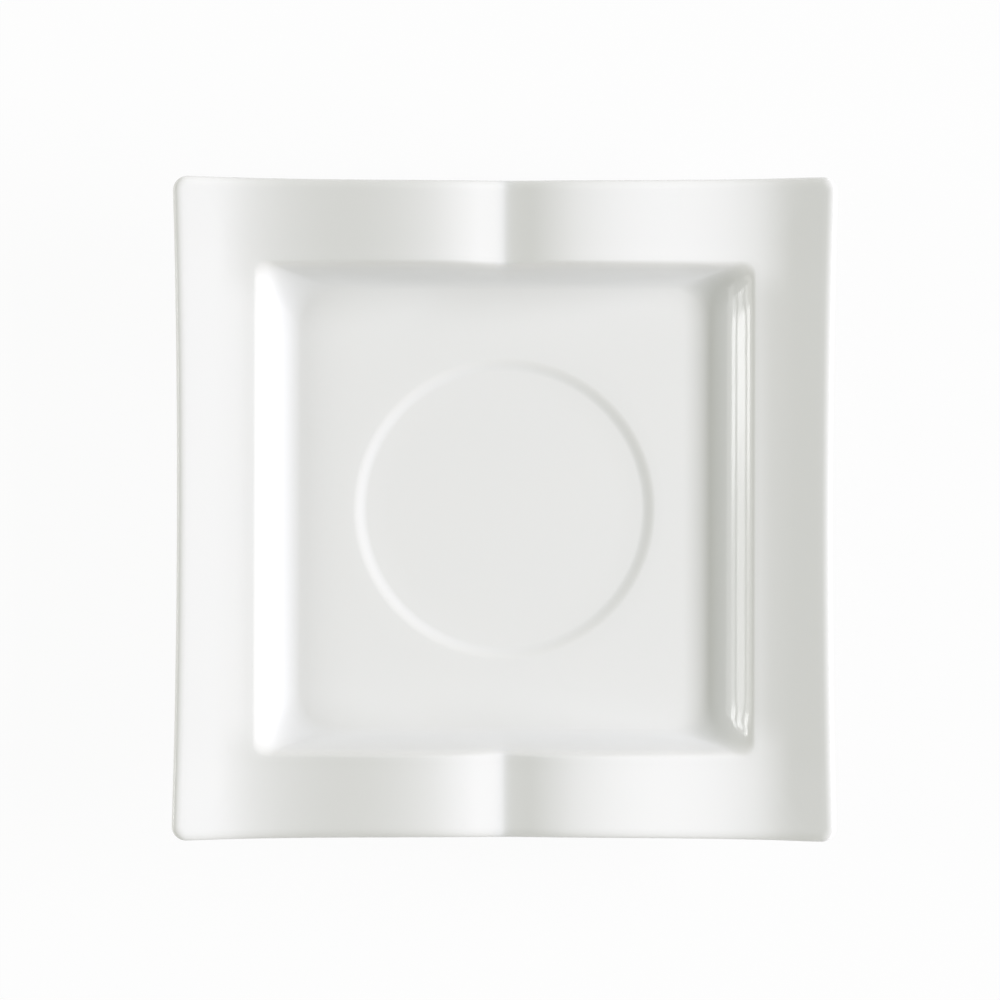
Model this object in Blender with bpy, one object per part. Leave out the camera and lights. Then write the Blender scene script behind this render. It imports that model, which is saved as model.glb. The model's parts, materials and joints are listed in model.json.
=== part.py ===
"""Square porcelain saucer with a waved rim.

The saucer is laid out from the cup seat outward: seat, floor, well wall, rim and lip. Each
region is a stack of closed loops with the same number of points, and skinning one loop to the
next gives the body. X runs across the crease of the rim, Y runs along it and Z is up. The
origin is at the middle of the face that the saucer stands on.
"""
import math

import bmesh
import bpy

# Cup seat and floor, in metres
CUP_SEAT_DIAMETER = 0.0666    # middle of the step round the seat
CUP_SEAT_DEPTH = 0.00055
CUP_SEAT_STEP = 0.0034        # plan width of that step
SIDE_MARGIN = 0.0136          # seat to the foot of the left and right walls
END_MARGIN = 0.0172           # seat to the foot of the front and back walls
FLOOR_CORNER_RADIUS = 0.0090
FLOOR_THICKNESS = 0.0046

# Well walls: a straight slope under the rim runs out into a cove at the floor
WELL_DEPTH = 0.0050           # floor below the trough of the rim
WELL_CORNER_RADIUS = 0.0035
WELL_EDGE_ROUND = 0.00115     # plan width of the rounding, on each side of the edge
SIDE_SLOPE_RUN = 0.0030       # plan widths of slope and cove at left and right
SIDE_COVE_RUN = 0.0071
END_SLOPE_RUN = 0.0013        # the same at front and back
END_COVE_RUN = 0.0046

# Rim, in metres, with slopes as rise over run
SIDE_RIM_WIDTH = 0.0194
END_RIM_WIDTH = 0.0201
RIM_THICKNESS = 0.0042
LIP_THICKNESS = 0.0026
LIP_ROUND = 0.0023            # plan width of the rounded outer edge
CORNER_RADIUS = 0.0036
EDGE_DRAW_IN = 0.0011         # how far the middle of each edge is drawn in
CREST_OFFSET = 0.0164         # crease to the crest of the wave
CREST_RISE = 0.0049           # crest above trough
CREST_BLEND = 0.0100          # length over which the crest rounds into the crease
CREASE_SLOPE = 0.240
CREASE_ROUND = 0.0012         # softness of the bottom of the crease
CREASE_LEAN = 0.20            # how far the low rim at the crease draws the well edge in
TURN_UP_WIDTH = 0.0183        # outer edge to the trough of the wave
TURN_UP_SLOPE = 0.245
TURN_UP_BLEND = 0.0082
LEAN_INSET = 0.0104           # outer edge to where the side rims start to lean into the well
LEAN_SLOPE = 0.100
LEAN_BLEND = 0.0045
LEAN_FADE = 0.0090            # length over which the lean dies out towards the corners
DISH_SLOPE = 0.084            # rise of the front and back rims towards their edges
DISH_BLEND = 0.0051

# Underside and foot, in metres
SIDE_WALL_SHIFT = 0.0015      # outer face of the side walls, outside the inner face
END_WALL_SHIFT = 0.0026       # the same for the front and back walls
FOOT_HEIGHT = 0.0030
FOOT_WIDTH = 0.0040
FOOT_INSET = 0.0015           # foot inside the edge of the flat base
FOOT_TAPER = 0.0006
FOOT_ROUND = 0.0006
SLIP_GAP = 0.0003             # bed of slip between foot and base

# Sizes that follow
FLOOR_HALF_X = CUP_SEAT_DIAMETER / 2 + SIDE_MARGIN
FLOOR_HALF_Y = CUP_SEAT_DIAMETER / 2 + END_MARGIN
WELL_HALF_X = FLOOR_HALF_X + SIDE_COVE_RUN + SIDE_SLOPE_RUN
WELL_HALF_Y = FLOOR_HALF_Y + END_COVE_RUN + END_SLOPE_RUN
HALF_X = WELL_HALF_X + SIDE_RIM_WIDTH
HALF_Y = WELL_HALF_Y + END_RIM_WIDTH
TROUGH_OFFSET = HALF_X - TURN_UP_WIDTH
LEAN_START = HALF_X - LEAN_INSET
FLOOR_Z = FOOT_HEIGHT + FLOOR_THICKNESS
TROUGH_Z = FLOOR_Z + WELL_DEPTH

# Points per quarter of a loop and loops per region
SIDE_POINTS = 6
CORNER_POINTS = 8
FLANK_POINTS = 8
CREST_POINTS = 6
SEAT_LOOPS = 4
WALL_LOOPS = 6
EDGE_LOOPS = 3
RIM_LOOPS = 4
LIP_LOOPS = 6
FOOT_CORNER_POINTS = 8

GLAZE_COLOUR = (0.80, 0.80, 0.79, 1.0)
GLAZE_ROUGHNESS = 0.10
BARE_COLOUR = (0.72, 0.70, 0.66, 1.0)
BARE_ROUGHNESS = 0.85
SMOOTH_ANGLE = math.radians(35)


def smooth_step(share):
    share = min(max(share, 0.0), 1.0)
    return share * share * (3 - 2 * share)


def eased_rise(distance, slope, blend):
    """Height of a ramp that starts level and reaches its slope after the blend length."""
    if distance <= 0:
        return 0.0
    if distance < blend:
        return slope * distance * distance / (2 * blend)
    return slope * (distance - blend / 2)


def wave_height(x):
    """Height of the rim above its trough: crease, crest, trough and turned-up edge."""
    offset = math.hypot(x, CREASE_ROUND)
    if offset < CREST_OFFSET:
        return CREST_RISE - eased_rise(CREST_OFFSET - offset, CREASE_SLOPE, CREST_BLEND)
    if offset < TROUGH_OFFSET:
        share = (offset - CREST_OFFSET) / (TROUGH_OFFSET - CREST_OFFSET)
        return CREST_RISE * (1 - smooth_step(share))
    return eased_rise(offset - TROUGH_OFFSET, TURN_UP_SLOPE, TURN_UP_BLEND)


def rim_height(x, y):
    """Height of the rim's upper face: the wave, dished front and back, leaning in at the sides."""
    dish = eased_rise(abs(y) - WELL_HALF_Y, DISH_SLOPE, DISH_BLEND)
    lean = eased_rise(LEAN_START - abs(x), LEAN_SLOPE, LEAN_BLEND)
    beside_well = smooth_step((WELL_HALF_Y - abs(y)) / LEAN_FADE)
    return TROUGH_Z + wave_height(x) + dish - lean * beside_well


def quarter_stations():
    """Places along a quarter loop: 0 to 1 on the side, 1 to 2 round the corner, 2 to 3 on the end."""
    crest_share = CREST_OFFSET / (WELL_HALF_X - WELL_CORNER_RADIUS)
    stations = [i / SIDE_POINTS for i in range(SIDE_POINTS)]
    stations += [1 + i / CORNER_POINTS for i in range(CORNER_POINTS)]
    stations += [2 + (1 - crest_share) * i / FLANK_POINTS for i in range(FLANK_POINTS)]
    stations += [3 - crest_share * (1 - i / CREST_POINTS) ** 2 for i in range(CREST_POINTS)]
    return stations


def full_loop(quarter_point):
    """Closed loop from the points of its first quarter, mirrored across both axes."""
    first = [quarter_point(station) for station in quarter_stations()]
    last = quarter_point(3.0)
    top_left = [(-x, y) for x, y in reversed(first[1:])]
    half = first + [last] + top_left
    return half + [(-x, -y) for x, y in half]


def rounded_point(half_x, half_y, radius, station):
    """Point of a rectangle with round corners, in the first quarter."""
    if station < 1:
        return half_x, (half_y - radius) * station
    if station < 2:
        angle = (station - 1) * math.pi / 2
        x = half_x - radius + radius * math.cos(angle)
        y = half_y - radius + radius * math.sin(angle)
        return x, y
    return (half_x - radius) * (3 - station), half_y


def well_loop(grow_x, grow_y):
    """Edge of the well, drawn in at the crease, and grown for the underside."""
    def point(station):
        half_x = WELL_HALF_X + grow_x
        half_y = WELL_HALF_Y + grow_y
        x, y = rounded_point(half_x, half_y, WELL_CORNER_RADIUS, station)
        if station >= 2 and x < CREST_OFFSET:
            y -= CREASE_LEAN * (CREST_RISE - wave_height(x))
        return x, y
    return full_loop(point)


def floor_loop(grow_x, grow_y):
    half_x = FLOOR_HALF_X + grow_x
    half_y = FLOOR_HALF_Y + grow_y
    radius = FLOOR_CORNER_RADIUS + min(grow_x, grow_y)
    return full_loop(lambda station: rounded_point(half_x, half_y, radius, station))


def circle_loop(radius):
    """Circle whose points lie on the same rays from the middle as those of the floor's edge."""
    def point(station):
        x, y = rounded_point(FLOOR_HALF_X, FLOOR_HALF_Y, FLOOR_CORNER_RADIUS, station)
        length = math.hypot(x, y)
        return radius * x / length, radius * y / length
    return full_loop(point)


def edge_loop(inset):
    """Outer edge, or a loop inside it, with its points level with those of the well."""
    half_x = HALF_X - inset
    half_y = HALF_Y - inset
    radius = CORNER_RADIUS - inset
    side_y = WELL_HALF_Y - WELL_CORNER_RADIUS
    end_x = WELL_HALF_X - WELL_CORNER_RADIUS

    def side_point(y):
        return half_x - EDGE_DRAW_IN * (1 - (y / HALF_Y) ** 2), y

    def end_point(x):
        return x, half_y - EDGE_DRAW_IN * (1 - (x / HALF_X) ** 2)

    def point(station):
        if station <= 1:
            return side_point(side_y * station)
        if station >= 2:
            return end_point(end_x * (3 - station))
        part = (station - 1) * 4
        if part < 1:
            return side_point(side_y + (half_y - radius - side_y) * part)
        if part > 3:
            return end_point(end_x + (half_x - radius - end_x) * (4 - part))
        angle = (part - 1) / 2 * math.pi / 2
        x = half_x - radius + radius * math.cos(angle)
        y = half_y - radius + radius * math.sin(angle)
        return x - half_x + side_point(y)[0], y - half_y + end_point(x)[1]
    return full_loop(point)


def wall_runs():
    """Plan widths of slope and cove at each point: side values, end values and a blend between."""
    def point(station):
        turn = smooth_step(station - 1)
        slope_run = SIDE_SLOPE_RUN + (END_SLOPE_RUN - SIDE_SLOPE_RUN) * turn
        cove_run = SIDE_COVE_RUN + (END_COVE_RUN - SIDE_COVE_RUN) * turn
        return slope_run, cove_run
    return [(abs(slope_run), abs(cove_run)) for slope_run, cove_run in full_loop(point)]


def wall_fall(share, slope_run, cove_run):
    """Fall of the wall from rim, 0, to floor, 1, at a share of its plan width."""
    steepness = 1 / (slope_run + cove_run / 2)
    distance = share * (slope_run + cove_run)
    if distance < slope_run:
        return steepness * distance
    to_floor = slope_run + cove_run - distance
    return 1 - steepness * to_floor * to_floor / (2 * cove_run)


def mix_loops(start, end, share):
    return [tuple(p + (q - p) * share for p, q in zip(a, b)) for a, b in zip(start, end)]


def at_height(loop, height):
    return [(x, y, height) for x, y in loop]


def on_rim(loop, thickness=0.0):
    return [(x, y, rim_height(x, y) - thickness) for x, y in loop]


def wall_loop(top, foot, foot_z, share, thickness=0.0):
    """Loop on the wall between its top edge and its foot."""
    loop = []
    plan = mix_loops(top, foot, share)
    for (top_x, top_y), (x, y), runs in zip(top, plan, wall_runs()):
        top_z = rim_height(top_x, top_y) - thickness
        loop.append((x, y, top_z + (foot_z - top_z) * wall_fall(share, *runs)))
    return loop


def seat_loops():
    """Loops of the step round the cup seat."""
    loops = []
    for i in range(SEAT_LOOPS):
        share = i / (SEAT_LOOPS - 1)
        radius = CUP_SEAT_DIAMETER / 2 + CUP_SEAT_STEP * (share - 0.5)
        height = FLOOR_Z - CUP_SEAT_DEPTH * (1 - smooth_step(share))
        loops.append(at_height(circle_loop(radius), height))
    return loops


def upper_loops():
    """Loops of the upper face, from the cup seat out to the lip."""
    well = well_loop(0.0, 0.0)
    floor = floor_loop(0.0, 0.0)
    lip = edge_loop(LIP_ROUND)
    wall_start = WELL_EDGE_ROUND / (END_SLOPE_RUN + END_COVE_RUN)
    rim_start = WELL_EDGE_ROUND / END_RIM_WIDTH
    loops = seat_loops()
    for i in range(WALL_LOOPS):
        share = 1 - (1 - wall_start) * i / WALL_LOOPS
        loops.append(wall_loop(well, floor, FLOOR_Z, share))
    on_wall = wall_loop(well, floor, FLOOR_Z, wall_start)
    on_edge = on_rim(well)
    beyond = on_rim(mix_loops(well, lip, rim_start))
    for i in range(EDGE_LOOPS):
        share = i / EDGE_LOOPS
        near = mix_loops(on_wall, on_edge, share)
        far = mix_loops(on_edge, beyond, share)
        loops.append(mix_loops(near, far, share))
    for i in range(RIM_LOOPS):
        share = rim_start + (1 - rim_start) * i / RIM_LOOPS
        loops.append(on_rim(mix_loops(well, lip, share)))
    return loops


def lip_loops():
    """Loops round the lip, from its upper face over the edge to its lower face."""
    loops = []
    for i in range(LIP_LOOPS + 1):
        angle = math.pi / 2 - math.pi * i / LIP_LOOPS
        inset = LIP_ROUND * (1 - math.cos(angle))
        drop = LIP_THICKNESS / 2 * (1 - math.sin(angle))
        loops.append(on_rim(edge_loop(inset), drop))
    return loops


def lower_loops():
    """Loops of the lower face, from the lip in to the flat base."""
    lip = edge_loop(LIP_ROUND)
    well = well_loop(SIDE_WALL_SHIFT, END_WALL_SHIFT)
    base = floor_loop(SIDE_WALL_SHIFT, END_WALL_SHIFT)
    loops = []
    for i in range(1, RIM_LOOPS):
        share = i / RIM_LOOPS
        thickness = LIP_THICKNESS + (RIM_THICKNESS - LIP_THICKNESS) * share
        loops.append(on_rim(mix_loops(lip, well, share), thickness))
    for i in range(WALL_LOOPS + 1):
        loops.append(wall_loop(well, base, FOOT_HEIGHT, i / WALL_LOOPS, RIM_THICKNESS))
    return loops


def skin(mesh, loops, closed):
    """Quads between neighbouring loops; open stacks are capped at both ends."""
    rows = [[mesh.verts.new(point) for point in loop] for loop in loops]
    pairs = list(zip(rows, rows[1:]))
    if closed:
        pairs.append((rows[-1], rows[0]))
    else:
        mesh.faces.new(rows[0])
        mesh.faces.new(rows[-1])
    for near, far in pairs:
        for i in range(len(near)):
            j = (i + 1) % len(near)
            mesh.faces.new((near[i], near[j], far[j], far[i]))
    bmesh.ops.recalc_face_normals(mesh, faces=mesh.faces)


def porcelain(name, colour, roughness):
    material = bpy.data.materials.new(name)
    material.use_nodes = True
    shader = material.node_tree.nodes["Principled BSDF"]
    shader.inputs["Base Color"].default_value = colour
    shader.inputs["Roughness"].default_value = roughness
    shader.inputs["Metallic"].default_value = 0.0
    return material


def add_piece(name, loops, closed, material, parent):
    mesh = bmesh.new()
    skin(mesh, loops, closed)
    data = bpy.data.meshes.new(name)
    mesh.to_mesh(data)
    mesh.free()
    data.shade_smooth()
    data.set_sharp_from_angle(angle=SMOOTH_ANGLE)
    data.materials.append(material)
    piece = bpy.data.objects.new(name, data)
    bpy.context.scene.collection.objects.link(piece)
    piece.parent = parent
    return piece


def foot_outline(inset):
    """Outline of the foot, which follows the flat base."""
    half_x = FLOOR_HALF_X + SIDE_WALL_SHIFT - FOOT_INSET - inset
    half_y = FLOOR_HALF_Y + END_WALL_SHIFT - FOOT_INSET - inset
    radius = FLOOR_CORNER_RADIUS + SIDE_WALL_SHIFT - FOOT_INSET - inset
    outline = []
    for quarter in range(4):
        sign_x = 1 if quarter in (0, 3) else -1
        sign_y = 1 if quarter < 2 else -1
        for i in range(FOOT_CORNER_POINTS + 1):
            angle = (quarter + i / FOOT_CORNER_POINTS) * math.pi / 2
            x = sign_x * (half_x - radius) + radius * math.cos(angle)
            y = sign_y * (half_y - radius) + radius * math.sin(angle)
            outline.append((x, y))
    return outline


def foot_loops():
    """Section of the foot ring: tapered, with its lower corners taken off."""
    section = [
        (0.0, FOOT_HEIGHT - SLIP_GAP),
        (FOOT_TAPER, FOOT_ROUND),
        (FOOT_TAPER + FOOT_ROUND, 0.0),
        (FOOT_WIDTH - FOOT_TAPER - FOOT_ROUND, 0.0),
        (FOOT_WIDTH - FOOT_TAPER, FOOT_ROUND),
        (FOOT_WIDTH, FOOT_HEIGHT - SLIP_GAP),
    ]
    return [at_height(foot_outline(inset), height) for inset, height in section]


def main():
    for old in list(bpy.data.objects):
        bpy.data.objects.remove(old, do_unlink=True)
    saucer = bpy.data.objects.new("saucer", None)
    bpy.context.scene.collection.objects.link(saucer)

    glaze = porcelain("glazed_porcelain", GLAZE_COLOUR, GLAZE_ROUGHNESS)
    bare = porcelain("bare_porcelain", BARE_COLOUR, BARE_ROUGHNESS)
    body_loops = upper_loops() + lip_loops() + lower_loops()
    add_piece("saucer_body", body_loops, False, glaze, saucer)
    add_piece("foot_ring", foot_loops(), True, bare, saucer)


main()
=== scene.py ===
# %% [markdown]
# # A square porcelain saucer
# This lesson dresses a plain CAD saucer. The real one is pressed in white porcelain, dipped in
# clear glaze and fired, so nearly all of its look is soft shading on smooth curves. The CAD
# frame gives the place and the size, and the lesson rebuilds both pieces as fine meshes,
# because a glossy glaze shows every facet.

# %% Load the frame and keep its box
import json
import math

import bpy
import numpy as np
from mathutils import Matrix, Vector

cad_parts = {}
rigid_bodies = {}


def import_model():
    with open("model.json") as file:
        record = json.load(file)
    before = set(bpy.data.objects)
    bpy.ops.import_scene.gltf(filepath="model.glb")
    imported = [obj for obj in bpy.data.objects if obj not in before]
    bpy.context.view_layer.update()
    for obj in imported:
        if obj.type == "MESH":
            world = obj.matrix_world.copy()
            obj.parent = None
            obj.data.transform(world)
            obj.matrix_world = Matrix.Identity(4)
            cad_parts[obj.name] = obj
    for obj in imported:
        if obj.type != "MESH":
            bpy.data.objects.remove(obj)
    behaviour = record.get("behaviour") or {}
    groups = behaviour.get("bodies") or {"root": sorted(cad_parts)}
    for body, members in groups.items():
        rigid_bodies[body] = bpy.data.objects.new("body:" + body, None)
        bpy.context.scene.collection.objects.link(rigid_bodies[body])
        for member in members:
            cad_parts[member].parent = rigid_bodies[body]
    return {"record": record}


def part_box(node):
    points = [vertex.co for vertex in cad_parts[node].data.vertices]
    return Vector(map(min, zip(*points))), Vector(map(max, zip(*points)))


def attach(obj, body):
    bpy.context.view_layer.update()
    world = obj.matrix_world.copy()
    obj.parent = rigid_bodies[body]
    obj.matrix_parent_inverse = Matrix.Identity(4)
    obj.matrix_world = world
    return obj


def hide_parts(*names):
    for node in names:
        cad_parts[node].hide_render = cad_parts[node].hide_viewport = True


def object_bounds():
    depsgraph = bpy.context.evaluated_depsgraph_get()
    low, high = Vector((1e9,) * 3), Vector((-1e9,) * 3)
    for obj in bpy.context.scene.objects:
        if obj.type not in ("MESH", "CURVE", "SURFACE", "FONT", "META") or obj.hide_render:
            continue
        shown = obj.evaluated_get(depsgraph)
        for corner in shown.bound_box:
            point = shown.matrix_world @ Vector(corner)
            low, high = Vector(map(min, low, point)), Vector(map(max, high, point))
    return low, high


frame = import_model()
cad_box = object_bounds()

MM = 0.001
cad_size = (cad_box[1] - cad_box[0]) / MM
print("CAD box in mm:", [round(side, 2) for side in cad_size])

# %% [markdown]
# ## Sizes
# The saucer is laid out from the middle outward: cup seat, floor, well wall, rim and lip. The
# heights of seat, base and foot come from the frame. The plan sizes below are the ones that
# the CAD solid was drawn with, so the fine mesh lies on the coarse one.

# %% Heights from the frame
mounts = {mount["name"]: mount for mount in frame["record"]["mounts"]}
SEAT_Z = mounts["cup_seat"]["pos_m"][2]
foot_low, foot_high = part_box("foot_ring")
body_low, body_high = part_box("saucer_body")
BASE_Z = body_low.z
print("seat and base heights in mm:", round(SEAT_Z / MM, 2), round(BASE_Z / MM, 2))

# %% Plan of seat, floor and well
SEAT_DIAMETER = 66.6 * MM
SEAT_DEPTH = 0.55 * MM
SEAT_STEP = 3.4 * MM
SIDE_MARGIN = 13.6 * MM
END_MARGIN = 17.2 * MM
FLOOR_CORNER_RADIUS = 9.0 * MM
FLOOR_HALF_X = SEAT_DIAMETER / 2 + SIDE_MARGIN
FLOOR_HALF_Y = SEAT_DIAMETER / 2 + END_MARGIN
FLOOR_Z = SEAT_Z + SEAT_DEPTH

WELL_DEPTH = 5.0 * MM
WELL_CORNER_RADIUS = 3.5 * MM
WELL_EDGE_ROUND = 1.15 * MM
SIDE_SLOPE_RUN = 3.0 * MM
SIDE_COVE_RUN = 7.1 * MM
END_SLOPE_RUN = 1.3 * MM
END_COVE_RUN = 4.6 * MM
WELL_HALF_X = FLOOR_HALF_X + SIDE_COVE_RUN + SIDE_SLOPE_RUN
WELL_HALF_Y = FLOOR_HALF_Y + END_COVE_RUN + END_SLOPE_RUN
TROUGH_Z = FLOOR_Z + WELL_DEPTH
print("well in mm:", round(2 * WELL_HALF_X / MM, 1), round(2 * WELL_HALF_Y / MM, 1))

# %% Plan and section of the rim
SIDE_RIM_WIDTH = 19.4 * MM
END_RIM_WIDTH = 20.1 * MM
HALF_X = WELL_HALF_X + SIDE_RIM_WIDTH
HALF_Y = WELL_HALF_Y + END_RIM_WIDTH
RIM_THICKNESS = 4.2 * MM
LIP_THICKNESS = 2.6 * MM
LIP_ROUND = 2.3 * MM
CORNER_RADIUS = 3.6 * MM
EDGE_DRAW_IN = 1.1 * MM
print("rim in mm:", round(2 * HALF_X / MM, 1), round(2 * HALF_Y / MM, 1))

# %% [markdown]
# ## The waved rim
# Seen from the front the rim is a wave: a sharp crease in the middle, a rounded crest on each
# side of it, a long fall to a trough and a turned-up edge. It could be a curve drawn by hand,
# but every region below has to meet it, so it is a height formula that any point can ask.
# The front and back rims also dish up a little, and the side rims lean into the well.

# %% Height of the rim
CREST_OFFSET = 16.4 * MM
CREST_RISE = 4.9 * MM
CREST_BLEND = 10.0 * MM
CREASE_SLOPE = 0.24
CREASE_ROUND = 1.2 * MM
TURN_UP_WIDTH = 18.3 * MM
TROUGH_OFFSET = HALF_X - TURN_UP_WIDTH
TURN_UP_SLOPE = 0.245
TURN_UP_BLEND = 8.2 * MM
LEAN_INSET = 10.4 * MM
LEAN_START = HALF_X - LEAN_INSET
LEAN_SLOPE = 0.1
LEAN_BLEND = 4.5 * MM
LEAN_FADE = 9.0 * MM
DISH_SLOPE = 0.084
DISH_BLEND = 5.1 * MM


def smooth_step(share):
    """Goes from 0 to 1 with level ends."""
    share = np.clip(share, 0.0, 1.0)
    return share * share * (3 - 2 * share)


def eased_rise(distance, slope, blend):
    """Ramp that starts level and reaches its slope after the blend length."""
    distance = np.maximum(distance, 0.0)
    curve = slope * distance * distance / (2 * blend)
    return np.where(distance < blend, curve, slope * (distance - blend / 2))


def wave_height(x):
    """Crease, crest, trough and turned-up edge, above the trough."""
    offset = np.hypot(x, CREASE_ROUND)
    crest = CREST_RISE - eased_rise(CREST_OFFSET - offset, CREASE_SLOPE, CREST_BLEND)
    share = (offset - CREST_OFFSET) / (TROUGH_OFFSET - CREST_OFFSET)
    flank = CREST_RISE * (1 - smooth_step(share))
    turn_up = eased_rise(offset - TROUGH_OFFSET, TURN_UP_SLOPE, TURN_UP_BLEND)
    return np.where(offset < CREST_OFFSET, crest, flank + turn_up)


def rim_height(x, y):
    """Upper face of the rim, above the table."""
    dish = eased_rise(np.abs(y) - WELL_HALF_Y, DISH_SLOPE, DISH_BLEND)
    lean = eased_rise(LEAN_START - np.abs(x), LEAN_SLOPE, LEAN_BLEND)
    beside_well = smooth_step((WELL_HALF_Y - np.abs(y)) / LEAN_FADE)
    return TROUGH_Z + wave_height(x) + dish - lean * beside_well


print("crest and crease in mm:", np.round(rim_height(np.array([CREST_OFFSET, 0]), HALF_Y) / MM, 2))

# %% [markdown]
# ## Loops
# Every region is a stack of closed loops with the same number of points, and skinning one loop
# to the next gives the surface. A subdivision surface on a cage would be quicker to draw, but it
# rounds off the crease and drifts from the measured edges. One quarter of a loop is laid out
# along stations: 0 to 1 up the side, 1 to 2 round the corner, 2 to 3 along the end to the crease.

# %% Stations of one quarter
SIDE_POINTS = 26
CORNER_POINTS = 22
FLANK_POINTS = 28
CREST_POINTS = 22
CREST_CROWDING = 1.5
crest_share = CREST_OFFSET / (WELL_HALF_X - WELL_CORNER_RADIUS)
to_crease = 1 - np.arange(CREST_POINTS + 1) / CREST_POINTS
STATIONS = np.concatenate([
    np.arange(SIDE_POINTS) / SIDE_POINTS,
    1 + np.arange(CORNER_POINTS) / CORNER_POINTS,
    2 + (1 - crest_share) * np.arange(FLANK_POINTS) / FLANK_POINTS,
    3 - crest_share * to_crease ** CREST_CROWDING,
])


def all_round(quarter):
    """Closed loop from the points of one quarter, mirrored across both axes."""
    half = np.concatenate([quarter[:-1], quarter[:0:-1] * (-1, 1)])
    return np.concatenate([half, -half])


def all_round_values(quarter):
    """The same for a list of numbers."""
    half = np.concatenate([quarter[:-1], quarter[:0:-1]])
    return np.concatenate([half, half])


print("points in a loop:", len(all_round_values(STATIONS)))

# %% Plan outlines
CREASE_LEAN = 0.2
CORNER_PARTS = 4


def rounded_quarter(half_x, half_y, radius):
    """Quarter of a rectangle with round corners."""
    turn = np.clip(STATIONS - 1, 0, 1) * math.pi / 2
    x = (half_x - radius + radius * np.cos(turn)) * np.clip(3 - STATIONS, 0, 1)
    y = (half_y - radius + radius * np.sin(turn)) * np.clip(STATIONS, 0, 1)
    return np.column_stack([x, y])


def floor_outline(grow_x=0.0, grow_y=0.0):
    """Edge of the flat floor, or a loop outside it."""
    radius = FLOOR_CORNER_RADIUS + min(grow_x, grow_y)
    return all_round(rounded_quarter(FLOOR_HALF_X + grow_x, FLOOR_HALF_Y + grow_y, radius))


def circle_outline(radius):
    """Circle with its points on the same rays as those of the floor's edge."""
    floor = floor_outline()
    return radius * floor / np.linalg.norm(floor, axis=1, keepdims=True)


def well_outline(grow_x=0.0, grow_y=0.0):
    """Edge of the well, which the low rim at the crease draws in."""
    quarter = rounded_quarter(WELL_HALF_X + grow_x, WELL_HALF_Y + grow_y, WELL_CORNER_RADIUS)
    x = quarter[:, 0]
    by_crease = (STATIONS >= 2) & (x < CREST_OFFSET)
    quarter[:, 1] -= np.where(by_crease, CREASE_LEAN * (CREST_RISE - wave_height(x)), 0.0)
    return all_round(quarter)


def edge_outline(inset):
    """Outer edge, bowed in along all four sides, or a loop inside it.

    The first part of the corner's stations runs on along the side and the last along the end,
    and the parts between them turn.
    """
    radius = CORNER_RADIUS - inset
    straight_x = HALF_X - CORNER_RADIUS
    straight_y = HALF_Y - CORNER_RADIUS
    side_y = WELL_HALF_Y - WELL_CORNER_RADIUS
    end_x = WELL_HALF_X - WELL_CORNER_RADIUS
    part = CORNER_PARTS * np.clip(STATIONS - 1, 0, 1)
    turn = np.clip((part - 1) / (CORNER_PARTS - 2), 0, 1) * math.pi / 2
    x_run = np.clip(CORNER_PARTS - part, 0, 1)
    y_run = np.clip(part, 0, 1)
    x = end_x * np.clip(3 - STATIONS, 0, 1) + (straight_x - end_x) * x_run + radius * np.cos(turn)
    y = side_y * np.clip(STATIONS, 0, 1) + (straight_y - side_y) * y_run + radius * np.sin(turn)
    bow_x = 1 - EDGE_DRAW_IN / HALF_X * (1 - (y / HALF_Y) ** 2)
    bow_y = 1 - EDGE_DRAW_IN / HALF_Y * (1 - (x / HALF_X) ** 2)
    return all_round(np.column_stack([x * bow_x, y * bow_y]))


print("outer edge in mm:", np.round(np.ptp(edge_outline(0.0), axis=0) / MM, 2))

# %% [markdown]
# ## The well wall
# Under the rim the wall is a straight slope that runs out into a cove at the floor. The side
# walls are long and gentle and the end walls are short, so slope and cove have their own plan
# widths at the sides and at the ends, with a smooth change round the corners.

# %% Loops on rim and wall
corner_turn = smooth_step(STATIONS - 1)
slope_run = all_round_values(SIDE_SLOPE_RUN + (END_SLOPE_RUN - SIDE_SLOPE_RUN) * corner_turn)
cove_run = all_round_values(SIDE_COVE_RUN + (END_COVE_RUN - SIDE_COVE_RUN) * corner_turn)


def wall_fall(share):
    """Fall from rim, 0, to floor, 1, at a share of the wall's plan width."""
    steepness = 1 / (slope_run + cove_run / 2)
    distance = share * (slope_run + cove_run)
    to_floor = slope_run + cove_run - distance
    in_cove = 1 - steepness * to_floor * to_floor / (2 * cove_run)
    return np.where(distance < slope_run, steepness * distance, in_cove)


def at_height(plan, height):
    return np.column_stack([plan, np.broadcast_to(height, len(plan))])


def on_rim(plan, thickness=0.0):
    return at_height(plan, rim_height(plan[:, 0], plan[:, 1]) - thickness)


def on_wall(top, foot, foot_z, share, thickness=0.0):
    top_z = rim_height(top[:, 0], top[:, 1]) - thickness
    return at_height(top + (foot - top) * share, top_z + (foot_z - top_z) * wall_fall(share))


side_height = rim_height(WELL_HALF_X, 0.0) - FLOOR_Z
side_slope = side_height / (SIDE_SLOPE_RUN + SIDE_COVE_RUN / 2)
print("slope of the side wall in degrees:", round(math.degrees(math.atan(side_slope)), 1))

# %% [markdown]
# ## Glaze thickness
# Melted glaze runs off sharp edges and gathers in hollows. The finish needs to know where, so
# each loop also carries a number, 0 where the glaze is thin, 0.5 on flat ground and 1 where it
# pools. A bake of the mesh's curvature would do the same, but the loops know it already.

# %% Cup seat and floor
GLAZE_THIN = 0.0
GLAZE_EVEN = 0.5
GLAZE_POOLED = 1.0
CREASE_POOL_WIDTH = 2.5 * MM
body_loops = []
glaze_depths = []


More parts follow.
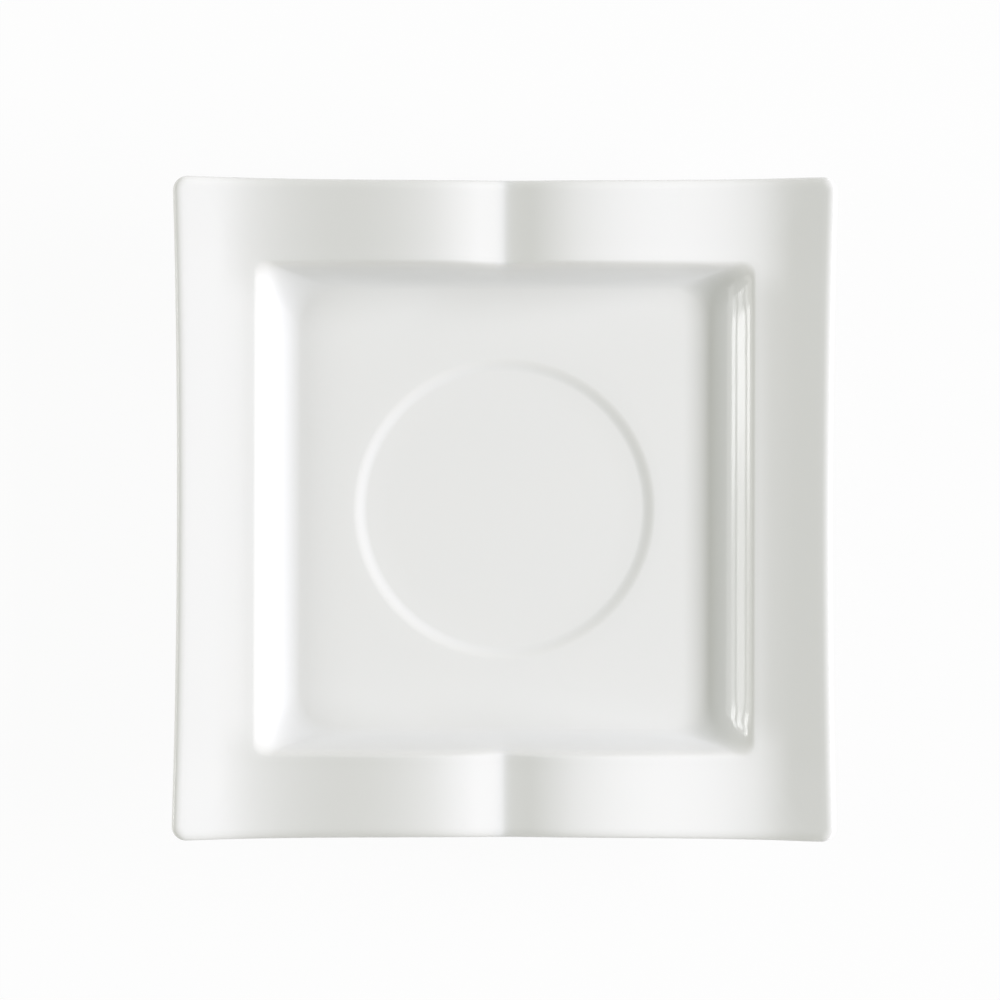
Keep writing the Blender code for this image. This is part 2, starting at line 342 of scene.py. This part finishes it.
def add_loop(points, depth):
    """Keeps a loop, held under the top of the CAD, with its glaze, which pools along the crease too."""
    crease_pool = np.exp(-(points[:, 0] / CREASE_POOL_WIDTH) ** 2) * (points[:, 2] > TROUGH_Z)
    points[:, 2] = np.minimum(points[:, 2], body_high.z)
    body_loops.append(points)
    glaze_depths.append(np.maximum(depth, GLAZE_POOLED * crease_pool * (depth > GLAZE_THIN)))


SEAT_RINGS = 6
SEAT_STEP_LOOPS = 10
SEAT_POOL = 0.2
FLOOR_LOOPS = 6
seat_inner = SEAT_DIAMETER / 2 - SEAT_STEP / 2
seat_outer = SEAT_DIAMETER / 2 + SEAT_STEP / 2
for ring in range(1, SEAT_RINGS):
    add_loop(at_height(circle_outline(seat_inner * ring / SEAT_RINGS), SEAT_Z), GLAZE_EVEN)
for step in range(SEAT_STEP_LOOPS + 1):
    share = step / SEAT_STEP_LOOPS
    plan = circle_outline(seat_inner + SEAT_STEP * share)
    pool = GLAZE_EVEN + SEAT_POOL * math.sin(2 * math.pi * share)
    add_loop(at_height(plan, SEAT_Z + SEAT_DEPTH * smooth_step(share)), pool)
for step in range(1, FLOOR_LOOPS):
    share = step / FLOOR_LOOPS
    plan = circle_outline(seat_outer) * (1 - share) + floor_outline() * share
    add_loop(at_height(plan, FLOOR_Z), GLAZE_EVEN)
print("loops of the floor:", len(body_loops))

# %% Wall, rounded edge and rim
WALL_LOOPS = 26
EDGE_LOOPS = 8
RIM_LOOPS = 14
well = well_outline()
lip = edge_outline(LIP_ROUND)
wall_start = WELL_EDGE_ROUND / (END_SLOPE_RUN + END_COVE_RUN)
rim_start = WELL_EDGE_ROUND / (HALF_Y - WELL_HALF_Y)
for step in range(WALL_LOOPS):
    share = 1 - (1 - wall_start) * step / WALL_LOOPS
    into_cove = np.clip((share * (slope_run + cove_run) - slope_run) / cove_run, 0.0, 1.0)
    pool = GLAZE_EVEN + (GLAZE_POOLED - GLAZE_EVEN) * np.sin(math.pi * into_cove)
    add_loop(on_wall(well, floor_outline(), FLOOR_Z, share), pool)
edge_from = on_wall(well, floor_outline(), FLOOR_Z, wall_start)
edge_mid = on_rim(well)
edge_to = on_rim(well + (lip - well) * rim_start)
for step in range(EDGE_LOOPS):
    share = step / EDGE_LOOPS
    near = edge_from + (edge_mid - edge_from) * share
    far = edge_mid + (edge_to - edge_mid) * share
    thinning = GLAZE_EVEN * (1 - math.sin(math.pi * share))
    add_loop(near + (far - near) * share, thinning)
for step in range(RIM_LOOPS):
    share = rim_start + (1 - rim_start) * step / RIM_LOOPS
    add_loop(on_rim(well + (lip - well) * share), GLAZE_EVEN)
print("loops to the lip:", len(body_loops))

# %% Lip and underside
LIP_LOOPS = 14
UNDER_RIM_LOOPS = 8
UNDER_WALL_LOOPS = 14
BASE_RINGS = 6
SIDE_WALL_SHIFT = 1.5 * MM
END_WALL_SHIFT = 2.6 * MM
for step in range(LIP_LOOPS + 1):
    angle = math.pi / 2 - math.pi * step / LIP_LOOPS
    plan = edge_outline(LIP_ROUND * (1 - math.cos(angle)))
    drop = LIP_THICKNESS / 2 * (1 - math.sin(angle))
    add_loop(on_rim(plan, drop), GLAZE_EVEN * (1 - math.cos(angle)))
under_well = well_outline(SIDE_WALL_SHIFT, END_WALL_SHIFT)
base = floor_outline(SIDE_WALL_SHIFT, END_WALL_SHIFT)
for step in range(1, UNDER_RIM_LOOPS):
    share = step / UNDER_RIM_LOOPS
    thickness = LIP_THICKNESS + (RIM_THICKNESS - LIP_THICKNESS) * share
    add_loop(on_rim(lip + (under_well - lip) * share, thickness), GLAZE_EVEN)
for step in range(UNDER_WALL_LOOPS + 1):
    add_loop(on_wall(under_well, base, BASE_Z, step / UNDER_WALL_LOOPS, RIM_THICKNESS), GLAZE_EVEN)
for ring in range(1, BASE_RINGS):
    add_loop(at_height(base * (1 - ring / BASE_RINGS), BASE_Z), GLAZE_EVEN)
print("loops in all:", len(body_loops))


# %% Skin the loops
def skin(name, loops, closed):
    """Smooth mesh of quads between neighbouring loops, capped at both ends unless it closes."""
    count = len(loops[0])
    here = np.arange(count)
    after = (here + 1) % count
    rows = len(loops)
    faces = []
    for row in range(rows if closed else rows - 1):
        near = row * count
        far = (row + 1) % rows * count
        faces += np.column_stack([near + here, far + here, far + after, near + after]).tolist()
    if not closed:
        faces.append(here.tolist())
        faces.append((here[::-1] + (rows - 1) * count).tolist())
    mesh = bpy.data.meshes.new(name)
    mesh.from_pydata(np.concatenate(loops).tolist(), [], faces)
    mesh.shade_smooth()
    piece = bpy.data.objects.new(name, mesh)
    bpy.context.scene.collection.objects.link(piece)
    return piece


saucer = skin("saucer_glazed_body", body_loops, closed=False)
depth_attribute = saucer.data.attributes.new("glaze_depth", "FLOAT", "POINT")
depth_attribute.data.foreach_set("value", np.concatenate(glaze_depths).astype(np.float32))
print("faces of the body:", len(saucer.data.polygons))

# %% [markdown]
# ## The foot ring
# The saucer stands on a low ring under the flat base. The ring is glazed on its flanks and wiped
# bare where it stands, or it would stick to the kiln shelf. Its section is drawn once, with a
# fillet against the base and round lower corners, and swept along a rounded rectangle.

# %% Section and sweep of the foot
FOOT_WIDTH = 4.0 * MM
FOOT_TAPER = 0.6 * MM
FOOT_ROUND = 0.6 * MM
FOOT_FILLET = 0.5 * MM
FOOT_CORNER_RADIUS = FLOOR_CORNER_RADIUS
ARC_STEPS = 5


def foot_flank():
    """Outer half of the section, as inset and height, from the base down to the standing face."""
    turn = np.arange(ARC_STEPS + 1) / ARC_STEPS * math.pi / 2
    fillet_inset = FOOT_FILLET * (np.sin(turn) - 1)
    fillet_height = BASE_Z - FOOT_FILLET * (1 - np.cos(turn))
    corner_inset = FOOT_TAPER + FOOT_ROUND * (1 - np.cos(turn))
    corner_height = FOOT_ROUND * (1 - np.sin(turn))
    inset = np.concatenate([fillet_inset, corner_inset])
    height = np.concatenate([fillet_height, corner_height])
    return np.column_stack([inset, height])


def foot_loop(inset, height):
    half_x = foot_high.x - inset
    half_y = foot_high.y - inset
    return at_height(all_round(rounded_quarter(half_x, half_y, FOOT_CORNER_RADIUS - inset)), height)


outer_flank = foot_flank()
inner_flank = outer_flank[::-1] * (-1, 1) + (FOOT_WIDTH, 0)
foot_loops = [foot_loop(inset, height) for inset, height in np.concatenate([outer_flank, inner_flank])]
foot = skin("saucer_foot_ring", foot_loops, closed=True)
print("faces of the foot:", len(foot.data.polygons))

# %% [markdown]
# ## Writing shaders as sums
# A finish is a network of nodes. Wiring each one by hand hides the idea, so one small class wraps
# an output socket: sums on it add Math nodes, and one method adds any other kind of node.

# %% A socket that can be calculated with
MIX_FIRST_COLOUR = 6
MIX_SECOND_COLOUR = 7
MIX_COLOUR_RESULT = 2
NOISE_MIDDLE = 0.5


class Socket:
    """An output of a shader node. Arithmetic on it adds Math nodes to the same tree."""

    def __init__(self, socket):
        self.socket = socket
        self.tree = socket.id_data

    @staticmethod
    def node(tree, kind, settings, inputs, output=0):
        """Adds a node: first its settings, then values or links for its sockets. Returns one output."""
        made = tree.nodes.new(kind)
        for name, setting in settings.items():
            setattr(made, name, setting)
        for name, given in inputs.items():
            if isinstance(given, Socket):
                tree.links.new(given.socket, made.inputs[name])
            else:
                made.inputs[name].default_value = given
        return Socket(made.outputs[output]) if made.outputs else None

    def maths(self, operation, first, second):
        return Socket.node(self.tree, "ShaderNodeMath", {"operation": operation}, {0: first, 1: second})

    def __add__(self, other):
        return self.maths("ADD", self, other)

    __radd__ = __add__

    def __sub__(self, other):
        return self.maths("SUBTRACT", self, other)

    def __rsub__(self, other):
        return self.maths("SUBTRACT", other, self)

    def __mul__(self, other):
        return self.maths("MULTIPLY", self, other)

    __rmul__ = __mul__

    def __truediv__(self, other):
        return self.maths("DIVIDE", self, other)

    def __rtruediv__(self, other):
        return self.maths("DIVIDE", other, self)

    def limited(self):
        """The value held between 0 and 1."""
        above_zero = self.maths("MAXIMUM", self, 0.0)
        return self.maths("MINIMUM", above_zero, 1.0)

    def colour(self, first, second):
        """First colour where the value is 0, second where it is 1."""
        inputs = {0: self, MIX_FIRST_COLOUR: first, MIX_SECOND_COLOUR: second}
        return Socket.node(self.tree, "ShaderNodeMix", {"data_type": "RGBA"}, inputs, MIX_COLOUR_RESULT)


def noise(tree, place, grain, detail):
    """Soft noise between 0 and 1 with lumps of about the grain's size, in metres."""
    inputs = {"Vector": place, "Scale": 1 / grain, "Detail": detail}
    return Socket.node(tree, "ShaderNodeTexNoise", {}, inputs, "Fac")


def new_finish(name):
    finish = bpy.data.materials.new(name)
    finish.use_nodes = True
    finish.node_tree.nodes.clear()
    return finish


print("shader helper ready")

# %% [markdown]
# ## The glaze
# White porcelain under a clear, glossy glaze. One colour and a low roughness give the first
# impression. What makes it ceramic is small: the glaze is a touch cooler where it pools and a
# touch warmer where it thins over an edge, its colour drifts a little in soft clouds, and its
# skin has the faint ripple of something that was once liquid.

# %% Glaze finish
THIN_GLAZE = (0.808, 0.805, 0.796, 1.0)
POOLED_GLAZE = (0.792, 0.796, 0.800, 1.0)
CLOUD_GRAIN = 22 * MM
CLOUD_DETAIL = 3.0
CLOUD_SHARE = 0.5
RIPPLE_GRAIN = 3.5 * MM
RIPPLE_DETAIL = 1.0
RIPPLE_HEIGHT = 0.002 * MM
GLAZE_ROUGHNESS = 0.085
ROUGHNESS_DRIFT = 0.02
GLAZE_IOR = 1.5


def glaze_finish():
    finish = new_finish("clear_glaze_on_porcelain")
    tree = finish.node_tree
    place = Socket.node(tree, "ShaderNodeTexCoord", {}, {}, "Object")
    depth = Socket.node(tree, "ShaderNodeAttribute", {"attribute_name": "glaze_depth"}, {}, "Fac")
    cloud = noise(tree, place, CLOUD_GRAIN, CLOUD_DETAIL)
    ripple = noise(tree, place, RIPPLE_GRAIN, RIPPLE_DETAIL)
    tint = (depth + (cloud - NOISE_MIDDLE) * CLOUD_SHARE).limited()
    bump_inputs = {"Strength": 1.0, "Distance": RIPPLE_HEIGHT, "Height": ripple}
    shader = Socket.node(tree, "ShaderNodeBsdfPrincipled", {}, {
        "Base Color": tint.colour(THIN_GLAZE, POOLED_GLAZE),
        "Roughness": GLAZE_ROUGHNESS + (cloud - NOISE_MIDDLE) * ROUGHNESS_DRIFT,
        "IOR": GLAZE_IOR,
        "Normal": Socket.node(tree, "ShaderNodeBump", {}, bump_inputs),
    })
    Socket.node(tree, "ShaderNodeOutputMaterial", {}, {"Surface": shader})
    return finish


saucer.data.materials.append(glaze_finish())
print("nodes in the glaze:", len(saucer.data.materials[0].node_tree.nodes))

# %% [markdown]
# ## The bare foot
# Where the foot was wiped, the fired clay shows: warmer, dull and finely gritty. The glaze ends
# in a line that wanders a little, because it is wiped by hand on a wet sponge. A mask of height
# and noise tells glaze from clay, and colour, roughness and grit all follow that mask.

# %% Foot finish
BARE_CLAY = (0.72, 0.70, 0.66, 1.0)
BARE_CLAY_DARK = (0.64, 0.61, 0.56, 1.0)
FLANK_GLAZE = (0.80, 0.80, 0.79, 1.0)
BARE_ROUGHNESS = 0.85
GLAZE_LINE = 0.9 * MM
GLAZE_LINE_WANDER = 0.8 * MM
GLAZE_LINE_SOFTNESS = 0.15 * MM
GLAZE_LINE_MIDDLE = 0.5
WANDER_GRAIN = 6 * MM
WANDER_DETAIL = 2.0
GRIT_GRAIN = 0.25 * MM
GRIT_DETAIL = 4.0
GRIT_HEIGHT = 0.03 * MM


def foot_finish():
    finish = new_finish("wiped_foot_porcelain")
    tree = finish.node_tree
    place = Socket.node(tree, "ShaderNodeTexCoord", {}, {}, "Object")
    height = Socket.node(tree, "ShaderNodeSeparateXYZ", {}, {"Vector": place}, "Z")
    wander = noise(tree, place, WANDER_GRAIN, WANDER_DETAIL)
    grit = noise(tree, place, GRIT_GRAIN, GRIT_DETAIL)
    above_line = height - GLAZE_LINE + (wander - NOISE_MIDDLE) * GLAZE_LINE_WANDER
    glazed = (above_line / GLAZE_LINE_SOFTNESS + GLAZE_LINE_MIDDLE).limited()
    clay = grit.colour(BARE_CLAY_DARK, BARE_CLAY)
    bump_inputs = {"Strength": 1.0, "Distance": GRIT_HEIGHT, "Height": grit * (1 - glazed)}
    shader = Socket.node(tree, "ShaderNodeBsdfPrincipled", {}, {
        "Base Color": glazed.colour(clay, FLANK_GLAZE),
        "Roughness": BARE_ROUGHNESS + glazed * (GLAZE_ROUGHNESS - BARE_ROUGHNESS),
        "IOR": GLAZE_IOR,
        "Normal": Socket.node(tree, "ShaderNodeBump", {}, bump_inputs),
    })
    Socket.node(tree, "ShaderNodeOutputMaterial", {}, {"Surface": shader})
    return finish


foot.data.materials.append(foot_finish())
print("nodes in the foot's finish:", len(foot.data.materials[0].node_tree.nodes))

# %% [markdown]
# ## Fixing the pieces to the frame
# Each fine piece stands for its CAD node, which it hides, and rides on the only body, because
# a saucer has no joints. The record's slot for each finish is listed beside it but not used.

# %% Ride and replace
for piece, node, slot in (
    (saucer, "saucer_body", "glazed_porcelain"),
    (foot, "foot_ring", "bare_porcelain"),
):
    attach(piece, "root")
    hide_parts(node)
    print(piece.name, "stands for", node)

# %% [markdown]
# ## Floor and studio
# The saucer lies on pale paper that runs out to a white studio. The paper shows to the camera
# as near white, but still takes a little real light, so the shadow stays. To all other rays
# it is plain matt paper, and it throws light up under the rim as paper does. The studio lights
# the saucer with less than the white that it shows, and a little warm, like light from walls.

# %% Pale paper floor
FLOOR_HALF = 4.0
PAPER = (0.75, 0.75, 0.75, 1.0)
WHITE = (1.0, 1.0, 1.0, 1.0)
WHITE_LEVEL = 1.0
PAPER_GLOW = 0.94


def seen_directly(tree):
    """1 for rays from the camera, from gloss and through glass, and 0 for the light between surfaces."""
    paths = [Socket.node(tree, "ShaderNodeLightPath", {}, {}, name)
             for name in ("Is Camera Ray", "Is Glossy Ray", "Is Transmission Ray")]
    return (paths[0] + paths[1] + paths[2]).limited()


def paper_finish():
    finish = new_finish("white_paper")
    tree = finish.node_tree
    paper = Socket.node(tree, "ShaderNodeBsdfDiffuse", {}, {"Color": PAPER})
    glow = Socket.node(tree, "ShaderNodeEmission", {}, {"Color": WHITE, "Strength": WHITE_LEVEL})
    share = seen_directly(tree) * PAPER_GLOW
    surface = Socket.node(tree, "ShaderNodeMixShader", {}, {0: share, 1: paper, 2: glow})
    Socket.node(tree, "ShaderNodeOutputMaterial", {}, {"Surface": surface})
    return finish


floor_mesh = bpy.data.meshes.new("paper_floor")
corners = [(-1, -1), (1, -1), (1, 1), (-1, 1)]
floor_mesh.from_pydata([(FLOOR_HALF * x, FLOOR_HALF * y, 0.0) for x, y in corners], [], [(0, 1, 2, 3)])
floor_mesh.materials.append(paper_finish())
paper_floor = bpy.data.objects.new("paper_floor", floor_mesh)
bpy.context.scene.collection.objects.link(paper_floor)
print("floor in m:", [2 * FLOOR_HALF] * 2)

# %% White studio round it
STUDIO_FILL = 0.36
BOUNCED_LIGHT = (1.0, 1.02, 0.88, 1.0)
studio = bpy.data.worlds.new("white_studio")
bpy.context.scene.world = studio
studio.use_nodes = True
studio_tree = studio.node_tree
studio_tree.nodes.clear()
fill_inputs = {"Color": BOUNCED_LIGHT, "Strength": STUDIO_FILL}
backdrop_inputs = {"Color": WHITE, "Strength": WHITE_LEVEL}
fill = Socket.node(studio_tree, "ShaderNodeBackground", {}, fill_inputs)
backdrop = Socket.node(studio_tree, "ShaderNodeBackground", {}, backdrop_inputs)
shown = seen_directly(studio_tree)
mixed = Socket.node(studio_tree, "ShaderNodeMixShader", {}, {0: shown, 1: fill, 2: backdrop})
Socket.node(studio_tree, "ShaderNodeOutputWorld", {}, {"Surface": mixed})
print("fill from the studio:", STUDIO_FILL)

# %% [markdown]
# ## Lamps
# A white dish on white paper is drawn by its shadows alone, so the light comes in low from the
# right: a long, soft window, a little cool against the warm studio. A low card on the left opens
# the shadows. These strong lamps would fill the flat floor with glare when it is seen from the
# side, so the glaze doesn't mirror them. It mirrors the small cards, two rows with a dark bar
# between them, which draw the streaks on the right-hand wall. The streaks are stronger towards
# the back, so each row has a second card there. A lamp's level is how bright it makes a white
# surface that faces it, which says more than watts, because watts depend on the distance.

# %% Window and cards
DAYLIGHT = (1.0, 0.99, 1.06)
CARD_LIGHT = (1.0, 1.0, 1.02)
WINDOW_DISTANCE = 2.4
CARD_DISTANCE = 2.0
SMALL_CARD_WIDTH = 0.40
FROM_LEFT = 180
FROM_LEFT_FAR = 172.8


def add_lamp(name, azimuth, elevation, distance, size, level, colour, mirrored=True):
    """Soft rectangle at an angle from +X and above the floor, in degrees, facing the saucer."""
    lamp = bpy.data.lights.new(name, "AREA")
    lamp.shape = "RECTANGLE"
    lamp.size, lamp.size_y = size
    lamp.energy = level * math.pi ** 2 * distance ** 2
    lamp.color = colour
    holder = bpy.data.objects.new(name, lamp)
    around = math.radians(azimuth)
    up = math.radians(elevation)
    away = Vector((math.cos(up) * math.cos(around), math.cos(up) * math.sin(around), math.sin(up)))
    holder.location = away * distance
    holder.rotation_euler = (-away).to_track_quat("-Z", "Y").to_euler()
    holder.visible_camera = False
    holder.visible_glossy = mirrored
    bpy.context.scene.collection.objects.link(holder)
    print(name, "at level", level)


add_lamp("window_right", 2.5, 19, WINDOW_DISTANCE, (2.5, 0.35), 1.65, DAYLIGHT, mirrored=False)
add_lamp("card_left_low", 172, 15, CARD_DISTANCE, (1.0, 0.30), 0.36, CARD_LIGHT, mirrored=False)
for row, elevation, height, level, far_level in (
    ("lower", 25.8, 0.182, 0.0215, 0.022),
    ("upper", 35, 0.237, 0.0195, 0.037),
):
    size = (SMALL_CARD_WIDTH, height)
    add_lamp(f"card_left_{row}", FROM_LEFT, elevation, CARD_DISTANCE, size, level, CARD_LIGHT)
    add_lamp(f"card_left_{row}_far", FROM_LEFT_FAR, elevation, CARD_DISTANCE, size, far_level, CARD_LIGHT)
add_lamp("card_left_high", 193, 44, CARD_DISTANCE, (1.0, 0.35), 0.040, CARD_LIGHT)
add_lamp("card_back", 64, 7.4, CARD_DISTANCE, (0.87, 0.30), 0.06, DAYLIGHT, mirrored=False)

# %% [markdown]
# ## Camera
# The picture looks straight down from well above, so the rim hides nothing of the well. The
# saucer fills about two thirds of a frame of 1000 by 1000 pixels, a little low and to the right,
# and lies a hair clockwise of square.

# %% Camera straight above
PICTURE_PIXELS = 1000
PIXELS_PER_MM = 4.345
SAUCER_CENTRE_PIXEL = (504.3, 508.8)
CAMERA_DISTANCE = 2.0
CAMERA_ROLL = math.radians(0.12)
SENSOR_WIDTH = 36.0
picture_width = PICTURE_PIXELS / PIXELS_PER_MM * MM
off_right, off_down = (pixel - PICTURE_PIXELS / 2 for pixel in SAUCER_CENTRE_PIXEL)
lens = bpy.data.cameras.new("camera_above")
lens.sensor_width = SENSOR_WIDTH
lens.lens = SENSOR_WIDTH * CAMERA_DISTANCE / picture_width
camera = bpy.data.objects.new("camera_above", lens)
camera.location = (
    -off_right / PIXELS_PER_MM * MM,
    off_down / PIXELS_PER_MM * MM,
    CAMERA_DISTANCE + TROUGH_Z,
)
camera.rotation_euler = (0.0, 0.0, CAMERA_ROLL)
bpy.context.scene.collection.objects.link(camera)
bpy.context.scene.camera = camera
bpy.context.scene.view_settings.view_transform = "Standard"
print("picture in mm:", round(picture_width / MM, 1), "lens in mm:", round(lens.lens, 1))
